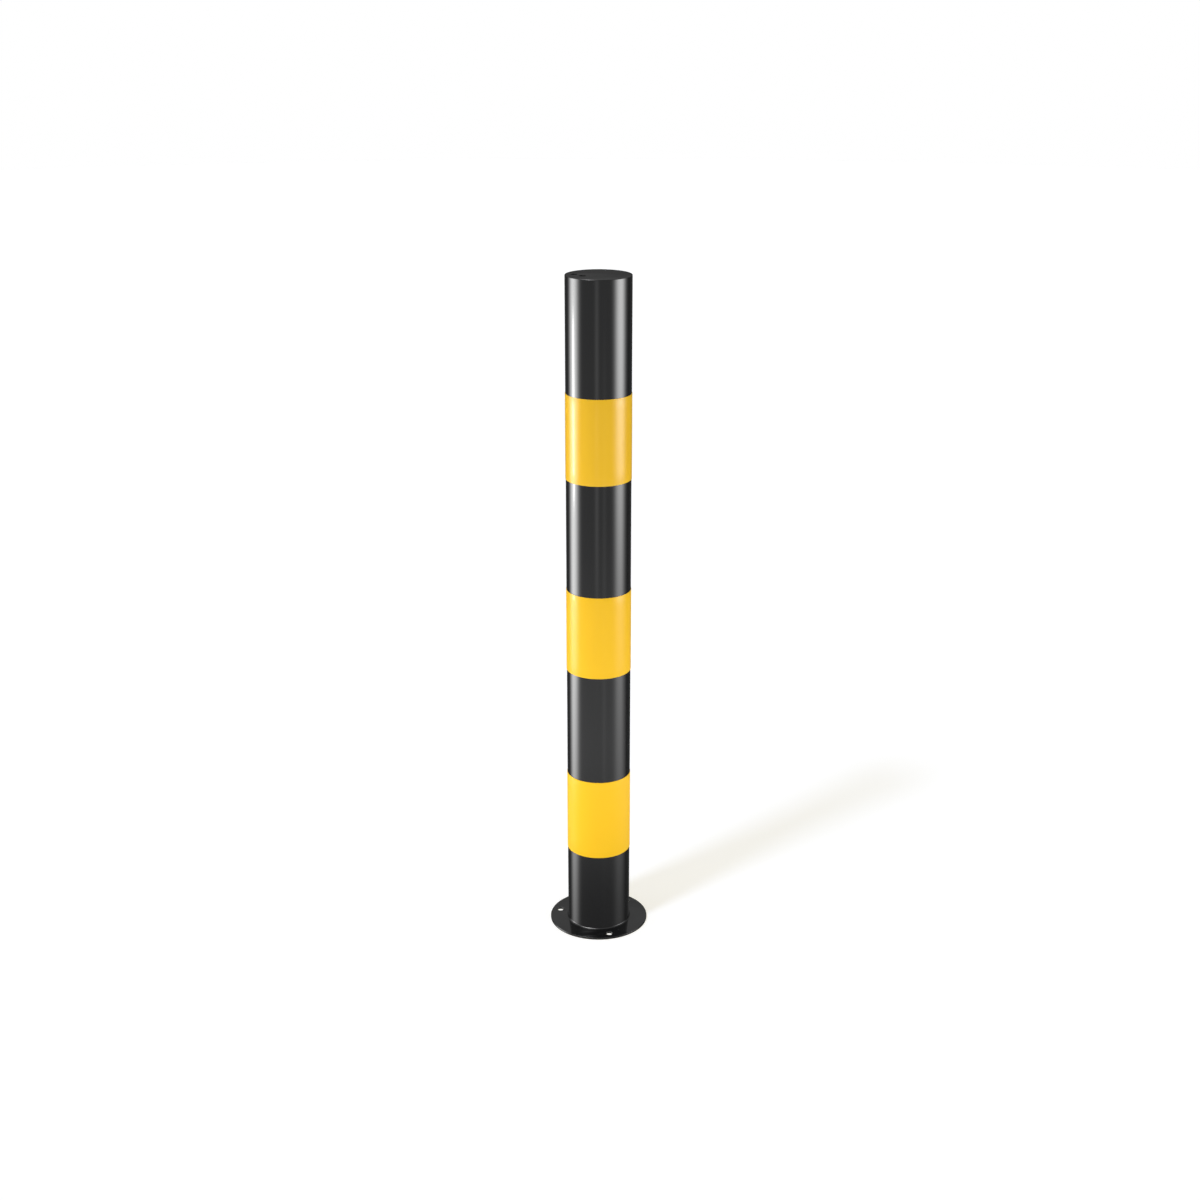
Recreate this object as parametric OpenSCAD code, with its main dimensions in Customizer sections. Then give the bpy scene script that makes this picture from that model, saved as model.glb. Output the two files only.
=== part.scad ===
// Surface-mounted safety bollard: a round steel tube welded to a thin round
// flange, a lid welded over its top end, and three reflective bands wrapped
// round it. Millimetres, +Z up. The origin is the centre of the flange's
// underside, so the post stands on the plane z = 0.
// Azimuths turn anticlockwise from +X, seen from above.

/* [Post tube] */
// Outer diameter of the tube
tube_od = 95; // [76:1:114]
// Wall thickness of the tube
tube_wall = 2; // [1.5:0.5:4]
// Length of the tube, from the flange to the lid
tube_len = 999; // [860:1:1300]

/* [Top cap] */
// Thickness of the lid
cap_t = 3; // [3:0.5:6]
// Radius that rounds the lid's upper rim
cap_rim_r = 0.75; // [0.25:0.25:2]
// Diameter of the two vent holes
vent_d = 10; // [6:0.5:12]
// Metal between the lid's rim and the outer vent hole
vent_edge_outer = 8; // [5:0.5:10]
// Metal between the lid's rim and the inner vent hole
vent_edge_inner = 17.5; // [15:0.5:20]
// Azimuth of the outer vent hole
vent_az_outer = 177; // [165:1:185]
// Azimuth of the inner vent hole
vent_az_inner = 206; // [204:1:225]

/* [Base flange] */
// Width of the flange outside the tube
flange_brim = 27.5; // [25:0.5:50]
// Thickness of the flange
flange_t = 3; // [3:0.5:10]
// Bevel that breaks the flange's outer edges
flange_bevel = 0.4; // [0.2:0.1:1]
// Diameter of the drain hole under the tube
drain_d = 40; // [20:1:60]

/* [Anchor holes] */
// Number of anchor holes
anchor_count = 3; // [3:1:6]
// Diameter of each anchor hole
anchor_d = 10; // [8:0.5:14]
// Distance from an anchor hole's centre to the flange's edge
anchor_edge = 12.5; // [10:0.5:14]
// Azimuth of the first anchor hole
anchor_az = 45; // [0:5:115]

/* [Welds] */
// Leg of the fillet weld round the foot of the tube
foot_leg = 2; // [1.5:0.5:5]
// Thickness of that weld's two toes
foot_toe = 0.3; // [0.1:0.1:0.6]
// Metal left whole inside the bevelled seam of the lid
seam_land = 0.75; // [0.5:0.25:1]

/* [Reflective bands] */
// Height of each band
band_h = 125.5; // [60:0.5:150]
// Height of the lowest band's lower edge above the ground
band_first = 125.5; // [60:0.5:240]
// Bare stretch between one band and the next
band_gap = 168; // [100:1:220]
// Thickness of the reflective film
film_t = 0.5; // [0.2:0.1:1]
// Length by which a band's end overlaps its start
film_lap = 14; // [6:1:30]
// Azimuth of the overlaps, on the side away from the traffic
lap_az = 90; // [60:5:120]

/* [Hidden] */
$fn = 180;
tube_r = tube_od / 2;
bore_r = tube_r - tube_wall;
tube_z = flange_t;
cap_z = tube_z + tube_len;
flange_r = tube_r + flange_brim;
anchor_r = flange_r - anchor_edge;
vent_r_outer = tube_r - vent_edge_outer - vent_d / 2;
vent_r_inner = tube_r - vent_edge_inner - vent_d / 2;
// Depth of the bevels at the lid's seam, across the tube's wall
seam_d = tube_wall - seam_land;
film_r = tube_r + film_t;
band_pitch = band_h + band_gap;
// Extra reach of a cutting shape past the face that it cuts
over = 1;

// A straight hole through a plate that spans z to z + t
module plate_hole(d, z, t) {
    translate([0, 0, z - over])
        cylinder(d = d, h = t + 2 * over);
}

module at_azimuth(az, r) {
    rotate(az)
        translate([r, 0, 0])
            children();
}

// Laser-cut round plate with its edges broken
module base_flange() {
    bevelled = [
        [0, 0],
        [flange_r - flange_bevel, 0],
        [flange_r, flange_bevel],
        [flange_r, flange_t - flange_bevel],
        [flange_r - flange_bevel, flange_t],
        [0, flange_t]
    ];
    color("#1b1b1c")
        difference() {
            rotate_extrude()
                polygon(bevelled);
            plate_hole(drain_d, 0, flange_t);
            for (i = [0 : anchor_count - 1])
                at_azimuth(anchor_az + i * 360 / anchor_count, anchor_r)
                    plate_hole(anchor_d, 0, flange_t);
        }
}

// Straight tube, cut square at the foot and bevelled at the lid for its weld
module post_tube() {
    wall = [
        [bore_r, tube_z],
        [tube_r, tube_z],
        [tube_r, cap_z - seam_d],
        [tube_r - seam_d, cap_z],
        [bore_r, cap_z]
    ];
    color("#161617")
        rotate_extrude()
            polygon(wall);
}

// Flat lid as wide as the tube: rounded above, bevelled below for its weld
module top_cap() {
    rim = tube_r - cap_rim_r;
    color("#202021")
        difference() {
            translate([0, 0, cap_z])
                rotate_extrude()
                    difference() {
                        union() {
                            square([rim, cap_t]);
                            square([tube_r, cap_t - cap_rim_r]);
                            translate([rim, cap_t - cap_rim_r])
                                circle(cap_rim_r);
                        }
                        polygon([
                            [tube_r - seam_d, 0],
                            [tube_r + over, -over],
                            [tube_r + over, seam_d + over]
                        ]);
                    }
            at_azimuth(vent_az_outer, vent_r_outer)
                plate_hole(vent_d, cap_z, cap_t);
            at_azimuth(vent_az_inner, vent_r_inner)
                plate_hole(vent_d, cap_z, cap_t);
        }
}

// Fillet weld with a hollow face, run all round the foot
module foot_weld() {
    color("#232324")
        translate([0, 0, tube_z])
            rotate_extrude()
                translate([tube_r, 0])
                    difference() {
                        square(foot_leg);
                        translate([foot_leg, foot_leg])
                            circle(foot_leg - foot_toe);
                    }
}

// Weld metal that fills the lid's seam, ground flush with the tube
module cap_weld() {
    color("#2a2a2b")
        translate([0, 0, cap_z])
            rotate_extrude()
                polygon([
                    [tube_r - seam_d, 0],
                    [tube_r, -seam_d],
                    [tube_r, seam_d]
                ]);
}

// One turn of film on the tube, its end lapped over its start.
// Bands are numbered from 0 at the bottom.
module band(i) {
    lap_angle = film_lap / film_r * 180 / PI;
    color("#ffd028")
        translate([0, 0, band_first + i * band_pitch])
            union() {
                rotate_extrude()
                    translate([tube_r, 0])
                        square([film_t, band_h]);
                rotate(lap_az - lap_angle / 2)
                    rotate_extrude(angle = lap_angle)
                        translate([tube_r + film_t / 2, 0])
                            square([film_t * 1.5, band_h]);
            }
}

module band_lower() {
    band(0);
}

module band_middle() {
    band(1);
}

module band_upper() {
    band(2);
}

base_flange();
post_tube();
top_cap();
foot_weld();
cap_weld();
band_lower();
band_middle();
band_upper();
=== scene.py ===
import bpy
import math
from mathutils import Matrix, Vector
from mathutils.geometry import tessellate_polygon


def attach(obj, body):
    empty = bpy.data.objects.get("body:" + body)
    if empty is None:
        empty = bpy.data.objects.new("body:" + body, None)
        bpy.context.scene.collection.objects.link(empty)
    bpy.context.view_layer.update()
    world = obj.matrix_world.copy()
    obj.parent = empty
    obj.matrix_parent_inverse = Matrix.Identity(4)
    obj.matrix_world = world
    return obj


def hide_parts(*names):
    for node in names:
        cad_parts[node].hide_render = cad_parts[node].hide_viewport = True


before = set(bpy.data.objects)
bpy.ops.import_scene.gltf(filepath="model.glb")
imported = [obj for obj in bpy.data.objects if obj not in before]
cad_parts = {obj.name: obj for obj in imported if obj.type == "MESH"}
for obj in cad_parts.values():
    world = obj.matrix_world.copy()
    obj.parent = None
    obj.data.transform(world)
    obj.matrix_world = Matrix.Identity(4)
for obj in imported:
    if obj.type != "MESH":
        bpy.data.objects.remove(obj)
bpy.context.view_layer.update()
mm = 0.001
print("frame loaded")

# The pieces are sized in millimetres, the room and its lights in metres, and angles are in degrees.
post = {
    "radius": 47.5,          # outside of the tube
    "bore": 45.5,
    "footZ": 3.0,            # top of the flange
    "lidZ": 1002.0,          # underside of the lid
    "seamDepth": 1.25,       # bevels that the lid's weld fills
    "segments": 256,
    "rows": 40,
}
sharpAngle = 35              # edges that turn more than this stay crisp


def arcPoints(centre, radius, start, end, steps):
    points = []
    for i in range(steps + 1):
        a = math.radians(start + (end - start) * i / steps)
        points.append((centre[0] + radius * math.cos(a), centre[1] + radius * math.sin(a)))
    return points


def polar(azimuth, distance):
    a = math.radians(azimuth)
    return distance * math.cos(a), distance * math.sin(a)


# Makes the mesh from millimetres, smooths it and puts it in place of a node.
def makePiece(name, verts, faces, material, node):
    mesh = bpy.data.meshes.new(name)
    mesh.from_pydata([Vector(v) * mm for v in verts], [], faces)
    mesh.validate()
    mesh.update()
    mesh.shade_smooth()
    mesh.set_sharp_from_angle(angle=math.radians(sharpAngle))
    mesh.materials.append(material)
    piece = bpy.data.objects.new(name, mesh)
    bpy.context.collection.objects.link(piece)
    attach(piece, "root")
    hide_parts(node)
    return piece


# Turns a closed profile of (radius, height) points about the post's axis.
def latheRing(profile, segments, ripple=None):
    verts, faces = [], []
    count = len(profile)
    for i in range(segments):
        a = 2 * math.pi * i / segments
        for k, (r, z) in enumerate(profile):
            if ripple:
                r, z = ripple(a, k, r, z)
            verts.append((r * math.cos(a), r * math.sin(a), z))
    for i in range(segments):
        j = (i + 1) % segments
        for k in range(count):
            m = (k + 1) % count
            faces.append((i * count + k, j * count + k, j * count + m, i * count + m))
    return verts, faces


holeEdge = {
    "ease": 0.15,            # edges eased by the coat
    "steps": 4,
    "segments": 72,
}


# A flat plate: its rim is lathed from the bottom face's edge to the top face's,
# and each hole (x, y, radius) is cut through with its two edges eased.
def plateWithHoles(rim, holes):
    verts, faces = [], []
    ease, around, holeAround = holeEdge["ease"], post["segments"], holeEdge["segments"]
    zLow, zHigh = rim[0][1], rim[-1][1]
    for i in range(around):
        a = 2 * math.pi * i / around
        verts += [(r * math.cos(a), r * math.sin(a), z) for r, z in rim]
    count = len(rim)
    for i in range(around):
        j = (i + 1) % around
        for k in range(count - 1):
            faces.append((i * count + k, j * count + k, j * count + k + 1, i * count + k + 1))
    lowLoops = [[i * count for i in range(around)]]
    highLoops = [[i * count + count - 1 for i in range(around)]]
    for x, y, r in holes:
        quarter = arcPoints((r + ease, zHigh - ease), ease, 180, 90, holeEdge["steps"])
        wall = [(px, zLow + zHigh - pz) for px, pz in reversed(quarter)] + quarter
        start = len(verts)
        depth = len(wall)
        for i in range(holeAround):
            a = 2 * math.pi * i / holeAround
            verts += [(x + pr * math.cos(a), y + pr * math.sin(a), pz) for pr, pz in wall]
        for i in range(holeAround):
            j = (i + 1) % holeAround
            for k in range(depth - 1):
                a, b = start + i * depth + k, start + j * depth + k
                faces.append((a, a + 1, b + 1, b))
        lowLoops.append([start + i * depth for i in range(holeAround)])
        highLoops.append([start + i * depth + depth - 1 for i in range(holeAround)])
    for loops, up in ((lowLoops, False), (highLoops, True)):
        order = [index for loop in loops for index in loop]
        for tri in tessellate_polygon([[Vector(verts[i]) for i in loop] for loop in loops]):
            a, b, c = (order[t] for t in tri)
            flat = (Vector(verts[b]) - Vector(verts[a])).cross(Vector(verts[c]) - Vector(verts[a]))
            faces.append((a, b, c) if (flat.z > 0) == up else (a, c, b))
    return verts, faces


def newMaterial(name):
    material = bpy.data.materials.new(name)
    material.use_nodes = True
    return material, material.node_tree


def newNode(tree, kind, **values):
    node = tree.nodes.new(kind)
    for key, value in values.items():
        setattr(node, key, value)
    return node


def join(tree, output, target):
    tree.links.new(output, target)


# Each value is a number or another node's output.
def mathNode(tree, operation, *values):
    node = newNode(tree, "ShaderNodeMath", operation=operation)
    for socket, value in zip(node.inputs, values):
        if isinstance(value, (int, float)):
            socket.default_value = value
        else:
            join(tree, value, socket)
    return node.outputs["Value"]


# exp(-(|value - centre| / width) ^ power): 1 in the middle, fading to both sides
def bell(tree, value, centre, width, power):
    away = mathNode(tree, "ABSOLUTE", mathNode(tree, "SUBTRACT", value, centre))
    drop = mathNode(tree, "POWER", mathNode(tree, "DIVIDE", away, width), power)
    return mathNode(tree, "EXPONENT", mathNode(tree, "MULTIPLY", drop, -1.0))


# Stretches a value from one (low, high) range to another.
def remap(tree, value, old, new):
    node = newNode(tree, "ShaderNodeMapRange")
    for name, limit in zip(("From Min", "From Max", "To Min", "To Max"), (*old, *new)):
        node.inputs[name].default_value = limit
    join(tree, value, node.inputs["Value"])
    return node.outputs["Result"]


# Each of the two is a colour or another node's output.
def mixColours(tree, factor, first, second):
    node = newNode(tree, "ShaderNodeMix", data_type="RGBA")
    join(tree, factor, node.inputs["Factor"])
    for name, colour in (("A", first), ("B", second)):
        if isinstance(colour, tuple):
            node.inputs[name].default_value = colour
        else:
            join(tree, colour, node.inputs[name])
    return node.outputs["Result"]


def addNoise(tree, place, scale, detail):
    noise = newNode(tree, "ShaderNodeTexNoise")
    noise.inputs["Scale"].default_value = scale
    noise.inputs["Detail"].default_value = detail
    join(tree, place, noise.inputs["Vector"])
    return noise.outputs["Fac"]


# Shallow waves in a glossy surface, used by both finishes.
def makeWaveGroup():
    group = bpy.data.node_groups.new("glossWaves", "ShaderNodeTree")
    for name in ("Vector", "Normal"):
        group.interface.new_socket(name, in_out="INPUT", socket_type="NodeSocketVector")
    for name in ("Scale", "Detail", "Depth"):
        group.interface.new_socket(name, in_out="INPUT", socket_type="NodeSocketFloat")
    group.interface.new_socket("Normal", in_out="OUTPUT", socket_type="NodeSocketVector")
    given = newNode(group, "NodeGroupInput")
    result = newNode(group, "NodeGroupOutput")
    noise = newNode(group, "ShaderNodeTexNoise")
    bump = newNode(group, "ShaderNodeBump")
    for name in ("Vector", "Scale", "Detail"):
        join(group, given.outputs[name], noise.inputs[name])
    join(group, noise.outputs["Fac"], bump.inputs["Height"])
    join(group, given.outputs["Depth"], bump.inputs["Distance"])
    join(group, given.outputs["Normal"], bump.inputs["Normal"])
    join(group, bump.outputs["Normal"], result.inputs["Normal"])
    return group


glossWaves = makeWaveGroup()


def addWaves(tree, place, normal, scale, detail, depth):
    waves = newNode(tree, "ShaderNodeGroup", node_tree=glossWaves)
    join(tree, place, waves.inputs["Vector"])
    join(tree, normal, waves.inputs["Normal"])
    waves.inputs["Scale"].default_value = scale
    waves.inputs["Detail"].default_value = detail
    waves.inputs["Depth"].default_value = depth
    return waves.outputs["Normal"]


# Black powder coat: near black, glossy and very slightly wavy. Its heights are in metres.
paint = {
    "dark": (0.0042, 0.0044, 0.0048, 1),
    "pale": (0.0062, 0.0064, 0.0068, 1),
    "cloudScale": 14,        # broad, faint clouds between the dark and the pale
    "cloudDetail": 3,
    "peelScale": 330,        # waves of about 3 mm
    "peelDetail": 1.5,
    "peelHeight": 0.000006,
    "grainScale": 2600,      # fine texture of the coat
    "grainDetail": 2,
    "grainHeight": 0.0000006,
    "grainRange": (0.3, 0.7),
    "roughness": (0.05, 0.075),
    "refraction": 1.5,
}


def makePaint():
    material, tree = newMaterial("blackPowderCoat")
    shader = tree.nodes["Principled BSDF"]
    place = newNode(tree, "ShaderNodeTexCoord").outputs["Object"]
    cloud = addNoise(tree, place, paint["cloudScale"], paint["cloudDetail"])
    grain = addNoise(tree, place, paint["grainScale"], paint["grainDetail"])
    rough = remap(tree, grain, paint["grainRange"], paint["roughness"])
    fine = newNode(tree, "ShaderNodeBump")
    fine.inputs["Distance"].default_value = paint["grainHeight"]
    join(tree, grain, fine.inputs["Height"])
    peel = addWaves(tree, place, fine.outputs["Normal"],
                    paint["peelScale"], paint["peelDetail"], paint["peelHeight"])
    join(tree, mixColours(tree, cloud, paint["dark"], paint["pale"]), shader.inputs["Base Color"])
    join(tree, rough, shader.inputs["Roughness"])
    join(tree, peel, shader.inputs["Normal"])
    shader.inputs["IOR"].default_value = paint["refraction"]
    return material


# The film needs the bands' heights, because its gloss grows from band to band.
band = {
    "height": 125.5,
    "thickness": 0.5,
    "lower": 125.5,          # heights of the three lower edges
    "middle": 419.0,
    "upper": 712.5,
    "lap": 14.0,
    "lapAzimuth": 90,
    "ramp": 5.0,             # length over which the end climbs onto the start
    "rampSteps": 28,
    "edge": 0.12,            # rounding of the cut edges
    "edgeTurn": 60,          # how far round that rounding goes
    "edgeSteps": 3,
    "segments": 300,
    "rows": 8,
}

# Yellow reflective film: a clear glossy top over glass beads set in yellow.
film = {
    "yellow": (0.95, 0.555, 0.017, 1),
    "amber": (0.89, 0.505, 0.013, 1),
    "beadScale": 2400,       # beads show as a grain of some 0.4 mm
    "beadContrast": 0.35,
    "beadRoughness": (0.35, 0.6),
    "beadSheen": 0.08,
    "clear": (0.05, 0.54),   # share of clear gloss on the lowest band and on the top one
    "clearRoughness": 0.07,
    "waveScale": 60,
    "waveDetail": 1,
    "waveHeight": 0.00001,   # metres
}


def makeFilm():
    material, tree = newMaterial("yellowReflectiveFilm")
    shader = tree.nodes["Principled BSDF"]
    place = newNode(tree, "ShaderNodeTexCoord").outputs["Object"]
    surface = newNode(tree, "ShaderNodeNewGeometry")
    beads = newNode(tree, "ShaderNodeTexVoronoi")
    beads.inputs["Scale"].default_value = film["beadScale"]
    join(tree, place, beads.inputs["Vector"])
    shade = mathNode(tree, "MULTIPLY", beads.outputs["Distance"], film["beadContrast"])
    rough = remap(tree, beads.outputs["Distance"], (0, 1), film["beadRoughness"])
    wave = addWaves(tree, place, surface.outputs["Normal"],
                    film["waveScale"], film["waveDetail"], film["waveHeight"])
    split = newNode(tree, "ShaderNodeSeparateXYZ")
    join(tree, place, split.inputs["Vector"])
    middles = [(band[where] + 0.5 * band["height"]) * mm for where in ("lower", "upper")]
    clear = remap(tree, split.outputs["Z"], middles, film["clear"])
    join(tree, mixColours(tree, shade, film["yellow"], film["amber"]), shader.inputs["Base Color"])
    join(tree, rough, shader.inputs["Roughness"])
    join(tree, wave, shader.inputs["Normal"])
    join(tree, clear, shader.inputs["Coat Weight"])
    shader.inputs["Coat Roughness"].default_value = film["clearRoughness"]
    shader.inputs["Specular IOR Level"].default_value = film["beadSheen"]
    return material


blackPaint = makePaint()
yellowFilm = makeFilm()
print("finishes made")


def makeTube():
    outer, inner, cut, rows = post["radius"], post["bore"], post["seamDepth"], post["rows"]
    rise = post["lidZ"] - cut - post["footZ"]
    profile = [(outer, post["footZ"] + rise * i / rows) for i in range(rows + 1)]
    profile += [(outer - cut, post["lidZ"]), (inner, post["lidZ"]), (inner, post["footZ"])]
    verts, faces = latheRing(profile, post["segments"])
    return makePiece("postTube", verts, faces, blackPaint, "post_tube")


lid = {
    "thickness": 3.0,
    "rimRadius": 0.75,
    "rimSteps": 12,
    "holes": (               # azimuth, distance from the axis, radius
        (177, 34.5, 5.0),
        (206, 25.0, 5.0),
    ),
}


def makeLid():
    outer, cut, rimRadius = post["radius"], post["seamDepth"], lid["rimRadius"]
    low = post["lidZ"]
    high = low + lid["thickness"]
    rim = [(outer - cut, low), (outer, low + cut)]
    rim += arcPoints((outer - rimRadius, high - rimRadius), rimRadius, 0, 90, lid["rimSteps"])
    holes = [(*polar(azimuth, distance), radius) for azimuth, distance, radius in lid["holes"]]
    verts, faces = plateWithHoles(rim, holes)
    return makePiece("topLid", verts, faces, blackPaint, "top_cap")


def makeLidWeld():
    outer, cut, z = post["radius"], post["seamDepth"], post["lidZ"]
    profile = [(outer - cut, z), (outer, z - cut), (outer, z), (outer, z + cut)]
    verts, faces = latheRing(profile, post["segments"])
    return makePiece("lidWeld", verts, faces, blackPaint, "cap_weld")


flange = {
    "radius": 75.0,
    "thickness": 3.0,
    "edge": 0.3,             # rounding of the outer edges
    "edgeSteps": 5,
    "anchorCircle": 62.5,
    "anchorRadius": 5.0,
    "anchorAzimuths": (45, 165, 285),
    "drainRadius": 20.0,
}


def makeFlange():
    radius, high = flange["radius"], flange["thickness"]
    edge, steps = flange["edge"], flange["edgeSteps"]
    rim = arcPoints((radius - edge, edge), edge, -90, 0, steps)
    rim += arcPoints((radius - edge, high - edge), edge, 0, 90, steps)
    holes = [(0, 0, flange["drainRadius"])]
    for azimuth in flange["anchorAzimuths"]:
        holes.append((*polar(azimuth, flange["anchorCircle"]), flange["anchorRadius"]))
    verts, faces = plateWithHoles(rim, holes)
    plate = makePiece("baseFlange", verts, faces, blackPaint, "base_flange")
    plate.visible_glossy = False          # the tube's gloss doesn't show the plate
    return plate


footBead = {
    "leg": 2.0,
    "toe": 0.3,
    "faceSteps": 16,
    "rippleHeight": 0.01,
    "ripples": 110,          # nearly 3 mm apart round the foot
    "sway": 0.9,             # how unevenly they follow each other
    "sways": 7,
    "segments": 900,
}


def makeFootWeld():
    outer, z, leg = post["radius"], post["footZ"], footBead["leg"]
    hollow = leg - footBead["toe"]
    face = arcPoints((outer + leg, z + leg), hollow, -90, -180, footBead["faceSteps"])
    profile = [(outer, z), (outer + leg, z)] + face + [(outer, z + leg)]
    last = len(profile) - 1

    def ripple(a, k, r, zPoint):
        if k in (0, 1, last):             # the corners against the plate and the tube stay put
            return r, zPoint
        turn = a * footBead["ripples"] + footBead["sway"] * math.sin(footBead["sways"] * a)
        lift = footBead["rippleHeight"] * math.sin(turn)
        share = math.sin(math.pi * (k - 2) / (last - 3)) ** 2
        return r + lift * share, zPoint + lift * share

    verts, faces = latheRing(profile, footBead["segments"], ripple)
    return makePiece("footWeld", verts, faces, blackPaint, "foot_weld")


# One strip wound round the tube, its end lapped over its start.
def makeBand(name, node, low):
    inner, thick, edge = post["radius"], band["thickness"], band["edge"]
    turn, steps, rows = band["edgeTurn"], band["edgeSteps"], band["rows"]
    high = low + band["height"]
    lapAngle = math.degrees(band["lap"] / (inner + thick))
    rampAngle = math.degrees(band["ramp"] / (inner + thick))
    start = band["lapAzimuth"] - lapAngle / 2
    section = [(0, low), (thick - edge, low)]
    section += arcPoints((thick - edge, low + edge), edge, -turn, 0, steps)
    section += [(thick, low + (high - low) * i / rows) for i in range(1, rows)]
    section += arcPoints((thick - edge, high - edge), edge, 0, turn, steps)
    section += [(thick - edge, high), (0, high)]
    stops = [360 * i / band["segments"] for i in range(band["segments"])]
    stops = [s for s in stops if s < 360 - rampAngle]
    for i in range(band["rampSteps"] + 1):
        stops.append(360 - rampAngle + (rampAngle + lapAngle) * i / band["rampSteps"])
    verts, faces = [], []
    count = len(section)
    for s in stops:
        climb = min(max((s - 360 + rampAngle) / rampAngle, 0), 1)
        lift = thick * climb * climb * (3 - 2 * climb)      # eases in and out
        a = math.radians(start + s)
        for t, z in section:
            r = inner + lift + t
            verts.append((r * math.cos(a), r * math.sin(a), z))
    for i in range(len(stops) - 1):
        for k in range(count):
            m = (k + 1) % count
            faces.append((i * count + k, (i + 1) * count + k, (i + 1) * count + m, i * count + m))
    faces.append(tuple(range(count)))
    faces.append(tuple(reversed(range((len(stops) - 1) * count, len(stops) * count))))
    return makePiece(name, verts, faces, yellowFilm, node)


makeTube()
makeLid()
makeLidWeld()
makeFlange()
makeFootWeld()
for where in ("lower", "middle", "upper"):
    makeBand("band" + where.capitalize(), "band_" + where, band[where])
print("post, welds and bands made")

view = {
    "place": (0.0020, -2.511, 1.4044),
    "tilt": 70.716,          # turned up from looking straight down
    "lens": 54.04,
    "sensor": 36,
    "farthest": 200,
}


def makeCamera():
    data = bpy.data.cameras.new("photoCamera")
    data.lens = view["lens"]
    data.sensor_width = view["sensor"]
    data.clip_end = view["farthest"]
    camera = bpy.data.objects.new("photoCamera", data)
    camera.location = view["place"]
    camera.rotation_euler = (math.radians(view["tilt"]), 0, 0)
    bpy.context.collection.objects.link(camera)
    bpy.context.scene.camera = camera


# 1 where the camera, gloss or glass sees a surface, and 0 where it only sends light on.
def seenDirectly(tree):
    path = newNode(tree, "ShaderNodeLightPath")
    seen = mathNode(tree, "MAXIMUM", path.outputs["Is Camera Ray"], path.outputs["Is Glossy Ray"])
    return mathNode(tree, "MAXIMUM", seen, path.outputs["Is Transmission Ray"])


# White room: white wherever it is seen, softer as light.
room = {"light": 0.4}


def makeWorld():
    world = bpy.data.worlds.new("whiteRoom")
    bpy.context.scene.world = world
    world.use_nodes = True
    tree = world.node_tree
    background = tree.nodes["Background"]
    background.inputs["Color"].default_value = (1, 1, 1, 1)
    level = remap(tree, seenDirectly(tree), (0, 1), (room["light"], 1))
    join(tree, level, background.inputs["Strength"])


lamps = {                    # direction it comes from, and angle that it takes up
    "keyLight": {"from": (-0.4425, -0.4271, 0.7885), "strength": 1.34, "width": 7.9},
    "leftFill": {"from": (-0.997, -0.07, 0), "strength": 1.0, "width": 30},
    "rightFill": {"from": (0.978, -0.21, 0), "strength": 1.35, "width": 30},
}


def makeLamps():
    for name, values in lamps.items():
        data = bpy.data.lights.new(name, "SUN")
        data.energy = values["strength"]
        data.angle = math.radians(values["width"])
        lamp = bpy.data.objects.new(name, data)
        lamp.rotation_euler = Vector(values["from"]).to_track_quat("Z", "Y").to_euler()
        lamp.visible_glossy = False       # gloss shows the studio's soft boxes instead
        bpy.context.collection.objects.link(lamp)


floor = {
    "radius": 12.0,
    "segments": 128,
    "drop": 0.0003,
    "shade": (0.385, 0.446, 0.631, 1),    # how strongly the shadow dims red, green and blue
    "glow": (0.730, 0.689, 0.556, 1),     # lifts the rest to white
    "bounceLow": 0.21,                    # light thrown back up by the whole floor
    "bouncePeak": 3.0,                    # and what a lit ring round the post adds to it
    "ringRadius": 0.62,
    "ringWidth": 0.3,
}


def makeFloor():
    count = floor["segments"]
    loop = [(*polar(360 * i / count, floor["radius"]), -floor["drop"]) for i in range(count)]
    mesh = bpy.data.meshes.new("paleFloor")
    mesh.from_pydata(loop, [], [tuple(range(count))])
    material, tree = newMaterial("paleFloor")
    tree.nodes.remove(tree.nodes["Principled BSDF"])
    place = newNode(tree, "ShaderNodeTexCoord")
    away = newNode(tree, "ShaderNodeVectorMath", operation="LENGTH")
    join(tree, place.outputs["Object"], away.inputs[0])
    ring = bell(tree, away.outputs["Value"], floor["ringRadius"], floor["ringWidth"], 2)
    lift = mathNode(tree, "MULTIPLY", ring, floor["bouncePeak"])
    bounce = newNode(tree, "ShaderNodeEmission")
    join(tree, mathNode(tree, "ADD", lift, floor["bounceLow"]), bounce.inputs["Strength"])
    lit = newNode(tree, "ShaderNodeBsdfDiffuse")
    lit.inputs["Color"].default_value = floor["shade"]
    glow = newNode(tree, "ShaderNodeEmission")
    glow.inputs["Color"].default_value = floor["glow"]
    both = newNode(tree, "ShaderNodeAddShader")
    join(tree, lit.outputs["BSDF"], both.inputs[0])
    join(tree, glow.outputs["Emission"], both.inputs[1])
    pick = newNode(tree, "ShaderNodeMixShader")
    join(tree, seenDirectly(tree), pick.inputs["Fac"])
    join(tree, bounce.outputs["Emission"], pick.inputs[1])
    join(tree, both.outputs["Shader"], pick.inputs[2])
    join(tree, pick.outputs["Shader"], tree.nodes["Material Output"].inputs["Surface"])
    mesh.materials.append(material)
    plane = bpy.data.objects.new("paleFloor", mesh)
    bpy.context.collection.objects.link(plane)
    plane.visible_glossy = False          # gloss shows the studio's lower half instead


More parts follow.
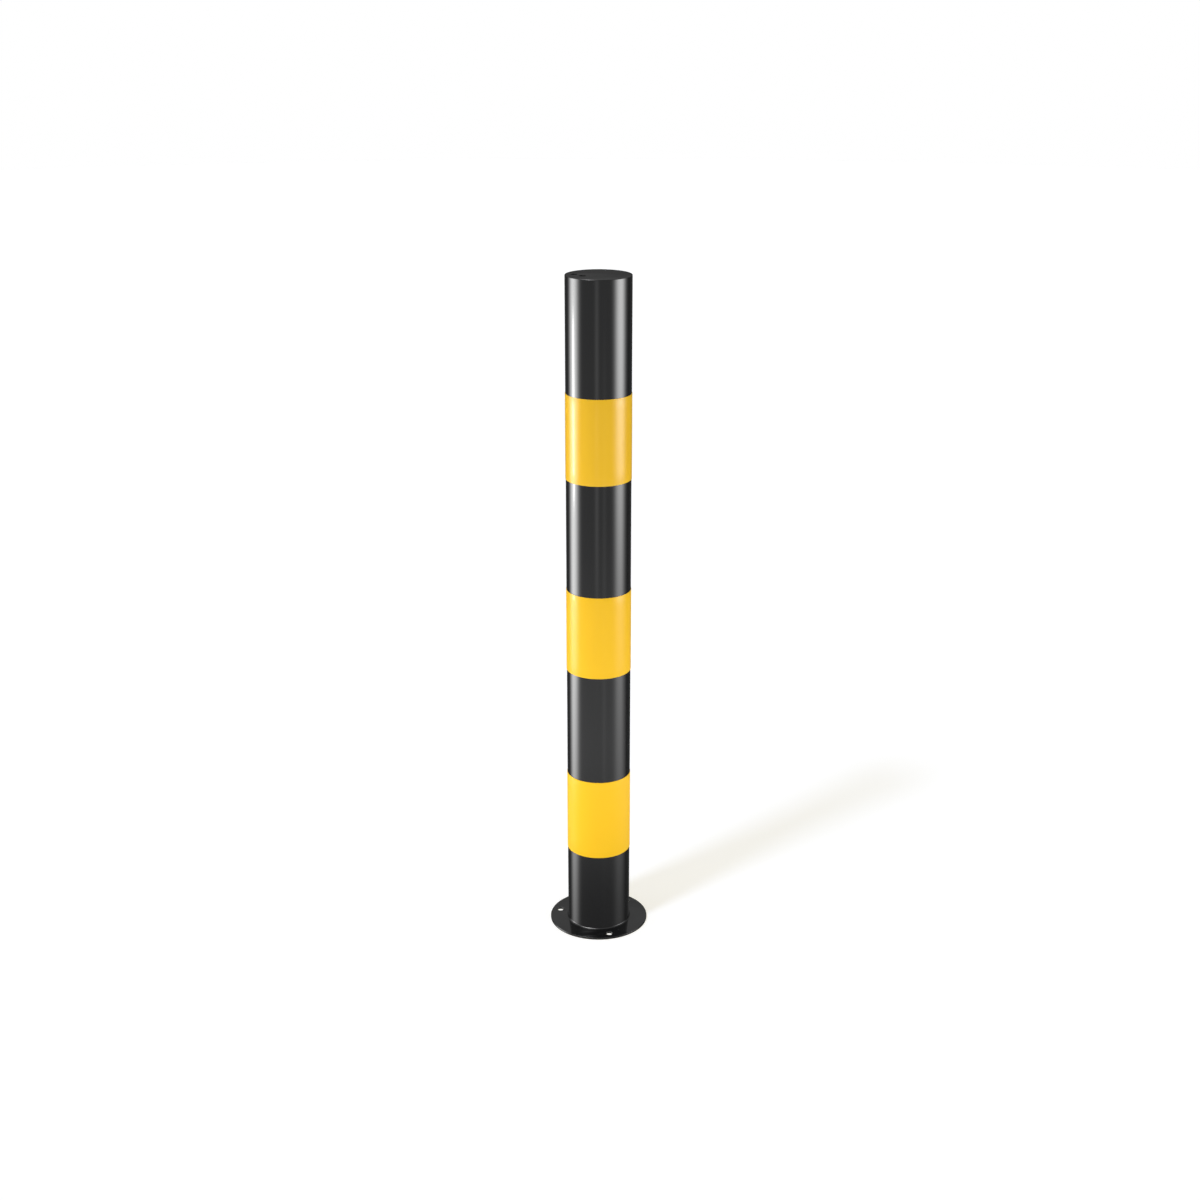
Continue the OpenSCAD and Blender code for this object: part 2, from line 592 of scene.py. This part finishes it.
# What the gloss mirrors: a dark studio with soft boxes, by direction seen from the post.
# Azimuths run from the camera's side, positive to its right, and heights from the horizon.
studio = {
    "radius": 40.0,
    "middleZ": 0.5,
    "segments": 48,
    "rows": 24,
    "front": ((-90, 0.3), (-29.2, 0.33), (-27.5, 0.6), (-24.5, 1.05), (-21.5, 0.9), (-17, 0.62),
              (-9, 0.55), (0, 0.3), (12, 0.3), (29, 1.1), (50, 0.6), (90, 0.6)),
    "back": ((-90, 0.05), (-29, 0.07), (-8, 0.09), (10, 0.085), (20, 0.28), (30, 0.5), (90, 0.7)),
    "frontBell": (-5, 118, 14),           # azimuth, width, power
    "softBoxes": (           # azimuth, width, power, lean, height, width, power, strength
        (-94.5, 18.8, 2.4, 0.27, -12, 13.9, 2.6, 11.4),
        (78.5, 19.4, 2.4, -0.1, -8.5, 10.4, 1.75, 10.5),
        (-96.5, 4.2, 2.0, 0.0, -12.75, 3.15, 16.0, 13.0),
        (-6, 7.0, 2.0, 0.0, -13.0, 7.0, 4.0, 0.6),
        (20, 7.0, 2.0, 0.0, -19.0, 8.0, 4.0, 0.25),
        (-47, 27.0, 2.0, 0.0, 52.0, 10.5, 2.0, 34.0),
    ),
}


# Each stop is a height in degrees and the studio's level there.
def levelByHeight(tree, height, stops):
    ramp = newNode(tree, "ShaderNodeValToRGB")
    share = mathNode(tree, "DIVIDE", mathNode(tree, "ADD", height, 90.0), 180.0)
    join(tree, share, ramp.inputs["Fac"])
    marks = ramp.color_ramp.elements
    while len(marks) < len(stops):
        marks.new(0.5)
    for mark, (degrees, level) in zip(marks, stops):
        mark.position = (degrees + 90) / 180
        mark.color = (level, level, level, 1)
    return ramp.outputs["Color"]


def makeShell():
    verts, faces = [], []
    around, rows = studio["segments"], studio["rows"]
    for i in range(rows + 1):
        tilt = math.pi * (i / rows - 0.5)
        flat = math.cos(tilt) * studio["radius"]
        z = math.sin(tilt) * studio["radius"] + studio["middleZ"]
        for j in range(around):
            a = 2 * math.pi * j / around
            verts.append((flat * math.cos(a), flat * math.sin(a), z))
    for i in range(rows):
        for j in range(around):
            k = (j + 1) % around
            faces.append((i * around + j, i * around + k, (i + 1) * around + k, (i + 1) * around + j))
    mesh = bpy.data.meshes.new("studioShell")
    mesh.from_pydata(verts, [], faces)
    return mesh


def makeStudio():
    mesh = makeShell()
    material, tree = newMaterial("studioShell")
    tree.nodes.remove(tree.nodes["Principled BSDF"])
    place = newNode(tree, "ShaderNodeTexCoord")
    split = newNode(tree, "ShaderNodeSeparateXYZ")
    join(tree, place.outputs["Object"], split.inputs["Vector"])
    x, y, z = (split.outputs[axis] for axis in "XYZ")
    rise = mathNode(tree, "SUBTRACT", z, studio["middleZ"])
    toCamera = mathNode(tree, "MULTIPLY", y, -1.0)
    azimuth = mathNode(tree, "MULTIPLY", mathNode(tree, "ARCTAN2", x, toCamera), math.degrees(1))
    squares = [mathNode(tree, "MULTIPLY", side, side) for side in (x, y)]
    flat = mathNode(tree, "SQRT", mathNode(tree, "ADD", *squares))
    height = mathNode(tree, "MULTIPLY", mathNode(tree, "ARCTAN2", rise, flat), math.degrees(1))
    front = levelByHeight(tree, height, studio["front"])
    back = levelByHeight(tree, height, studio["back"])
    total = mixColours(tree, bell(tree, azimuth, *studio["frontBell"]), back, front)
    for boxAzimuth, wide, widePower, lean, boxHeight, tall, tallPower, strength in studio["softBoxes"]:
        drift = mathNode(tree, "MULTIPLY", mathNode(tree, "SUBTRACT", height, boxHeight), lean)
        across = bell(tree, mathNode(tree, "SUBTRACT", azimuth, drift), boxAzimuth, wide, widePower)
        upright = bell(tree, height, boxHeight, tall, tallPower)
        box = mathNode(tree, "MULTIPLY", across, upright)
        total = mathNode(tree, "ADD", total, mathNode(tree, "MULTIPLY", box, strength))
    glow = newNode(tree, "ShaderNodeEmission")
    join(tree, total, glow.inputs["Strength"])
    join(tree, glow.outputs["Emission"], tree.nodes["Material Output"].inputs["Surface"])
    mesh.materials.append(material)
    shell = bpy.data.objects.new("studioShell", mesh)
    bpy.context.collection.objects.link(shell)
    # Only gloss sees the studio: it neither lights the post nor shades it.
    shell.visible_camera = False
    shell.visible_diffuse = False
    shell.visible_transmission = False
    shell.visible_volume_scatter = False
    shell.visible_shadow = False


makeCamera()
makeWorld()
makeLamps()
makeFloor()
makeStudio()
bpy.context.scene.view_settings.view_transform = "Standard"
print("camera, light and floor made")
